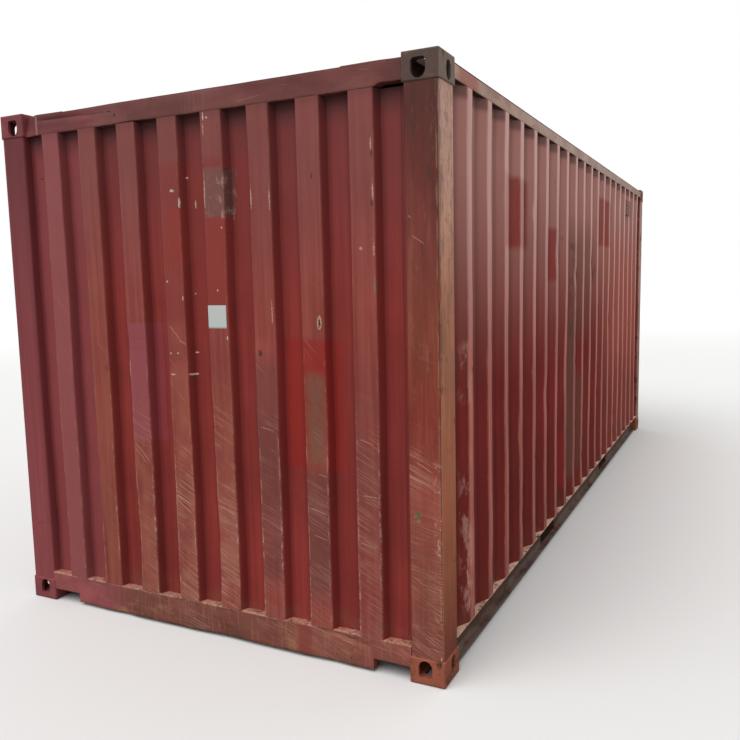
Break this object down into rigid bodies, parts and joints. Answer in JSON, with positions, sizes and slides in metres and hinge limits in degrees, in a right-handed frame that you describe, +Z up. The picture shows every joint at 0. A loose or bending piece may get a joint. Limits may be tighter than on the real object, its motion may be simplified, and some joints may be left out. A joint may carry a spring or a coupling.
{
  "type": "shipping container",
  "caption": "Twenty-foot steel cargo container with corrugated walls, corner fittings, fork pockets and closed rear doors; worn red paint, rust and dents.",
  "frame": {"origin": "middle of the footprint, on the undersides of the bottom corner fittings", "axes": "+Z up; +Y from the closed front end to the doors; +X to the right as one faces the closed front end"},
  "size_m": [2.438, 6.058, 2.591],
  "materials": {
    "casting": "worn paint and rust",
    "red_paint": "matte, faded and rusty",
    "plywood": "worn varnish",
    "door_rubber": "matte",
    "galvanised_steel": "weathered zinc"
  },
  "bodies": {
    "root": {"front_left_bottom_fitting": "casting", "front_right_bottom_fitting": "casting", "rear_left_bottom_fitting": "casting", "rear_right_bottom_fitting": "casting", "front_left_top_fitting": "casting", "front_right_top_fitting": "casting", "rear_left_top_fitting": "casting", "rear_right_top_fitting": "casting", "front_left_post": "red_paint", "front_right_post": "red_paint", "rear_left_post": "red_paint", "rear_right_post": "red_paint", "front_wall": "red_paint", "front_header": "red_paint", "front_sill": "red_paint", "left_wall": "red_paint", "right_wall": "red_paint", "left_top_rail": "red_paint", "right_top_rail": "red_paint", "left_bottom_rail": "red_paint", "right_bottom_rail": "red_paint", "roof": "red_paint", "roof_corner_plates": "red_paint", "cross_members": "red_paint", "front_fork_pocket": "red_paint", "rear_fork_pocket": "red_paint", "rear_header": "red_paint", "rear_sill": "red_paint", "left_door_frame": "red_paint", "right_door_frame": "red_paint", "left_door_panel": "red_paint", "right_door_panel": "red_paint", "left_ventilator": "red_paint", "right_ventilator": "red_paint", "floor_boards": "plywood", "left_door_gasket": "door_rubber", "right_door_gasket": "door_rubber", "left_door_hinges": "galvanised_steel", "right_door_hinges": "galvanised_steel", "left_lock_bars": "galvanised_steel", "right_lock_bars": "galvanised_steel", "left_bar_brackets": "galvanised_steel", "right_bar_brackets": "galvanised_steel", "cam_keepers": "galvanised_steel"}
  },
  "joints": []
}
